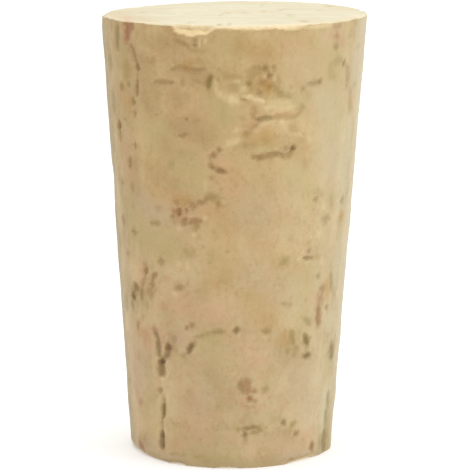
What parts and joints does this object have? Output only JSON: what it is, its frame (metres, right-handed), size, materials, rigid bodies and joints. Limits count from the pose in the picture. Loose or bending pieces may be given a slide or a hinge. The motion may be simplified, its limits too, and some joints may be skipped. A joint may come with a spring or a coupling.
{
  "type": "cork stopper",
  "caption": "Tapered natural cork stopper with flat ends, slightly rounded rims, open bark pores and cracks in its side, and a small chip in the wide rim.",
  "frame": {"origin": "centre of the small end, which the stopper stands on", "axes": "+Z along the taper's axis from the small end to the wide end; -Y towards the side with the upright slit and the rim chip; +X to the right seen from there"},
  "size_m": [0.0228, 0.0228, 0.038],
  "materials": {
    "cork": "dry, matt ground cork bark"
  },
  "bodies": {
    "root": {"stopper": "cork"}
  },
  "joints": []
}
